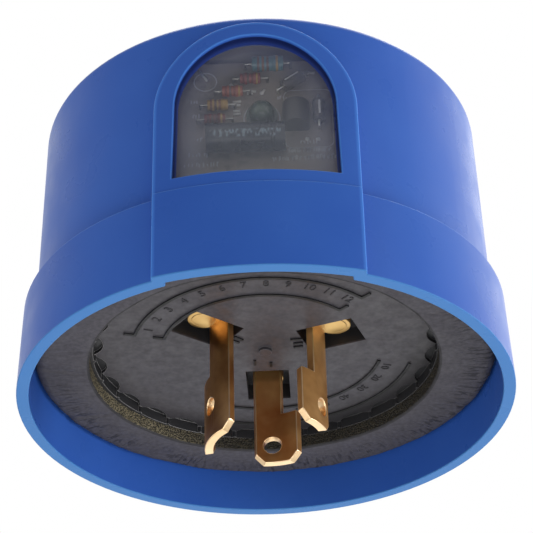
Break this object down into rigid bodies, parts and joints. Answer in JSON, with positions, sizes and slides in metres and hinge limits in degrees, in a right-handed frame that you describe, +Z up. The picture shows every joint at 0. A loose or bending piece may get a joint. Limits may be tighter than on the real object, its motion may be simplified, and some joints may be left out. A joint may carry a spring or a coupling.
{
  "type": "photocell switch",
  "caption": "Plug-in photocell switch with a blue skirted cover, an arched clear window, a foam gasket and curved brass locking blades.",
  "frame": {"origin": "on the axis of the locking plug, in the plane of the gasket's sealing face", "axes": "+Z up along the axis, away from the blades; the window faces -Y"},
  "size_m": [0.084, 0.0844, 0.0615],
  "materials": {
    "cover_blue": "satin moulded plastic",
    "clear_pane": "clear plastic, slightly hazy",
    "base_black": "matt moulded plastic",
    "foam_grey": "closed-cell foam with a smooth skin",
    "blade_brass": "bright stamped brass",
    "rivet_brass": "plain brass",
    "board_laminate": "laminate with printed lines",
    "sensor_green": "tinted lens",
    "capacitor_black": "shrunk sleeve",
    "resistor_red": "lacquer",
    "resistor_orange": "lacquer",
    "resistor_yellow": "lacquer",
    "resistor_brown": "lacquer",
    "resistor_teal": "lacquer",
    "diode_black": "moulded",
    "transistor_black": "moulded",
    "relay_case": "moulded case",
    "capacitor_yellow": "moulded box",
    "varistor_blue": "dipped coating",
    "wire_black": "wire insulation",
    "wire_red": "wire insulation",
    "wire_white": "wire insulation"
  },
  "bodies": {
    "root": {"cover": "cover_blue", "window": "clear_pane", "base": "base_black", "gasket": "foam_grey", "neutral_blade": "blade_brass", "line_blade": "blade_brass", "load_blade": "blade_brass", "blade_rivets": "rivet_brass", "circuit_board": "board_laminate", "photo_sensor": "sensor_green", "smoothing_capacitor": "capacitor_black", "sensor_resistor": "resistor_red", "bias_resistor": "resistor_orange", "gate_resistor": "resistor_yellow", "bleed_resistor": "resistor_brown", "snubber_resistor": "resistor_teal", "rectifier_diodes": "diode_black", "switching_transistor": "transistor_black", "relay": "relay_case", "dropper_capacitor": "capacitor_yellow", "surge_varistor": "varistor_blue", "line_wire": "wire_black", "load_wire": "wire_red", "neutral_wire": "wire_white"}
  },
  "joints": []
}
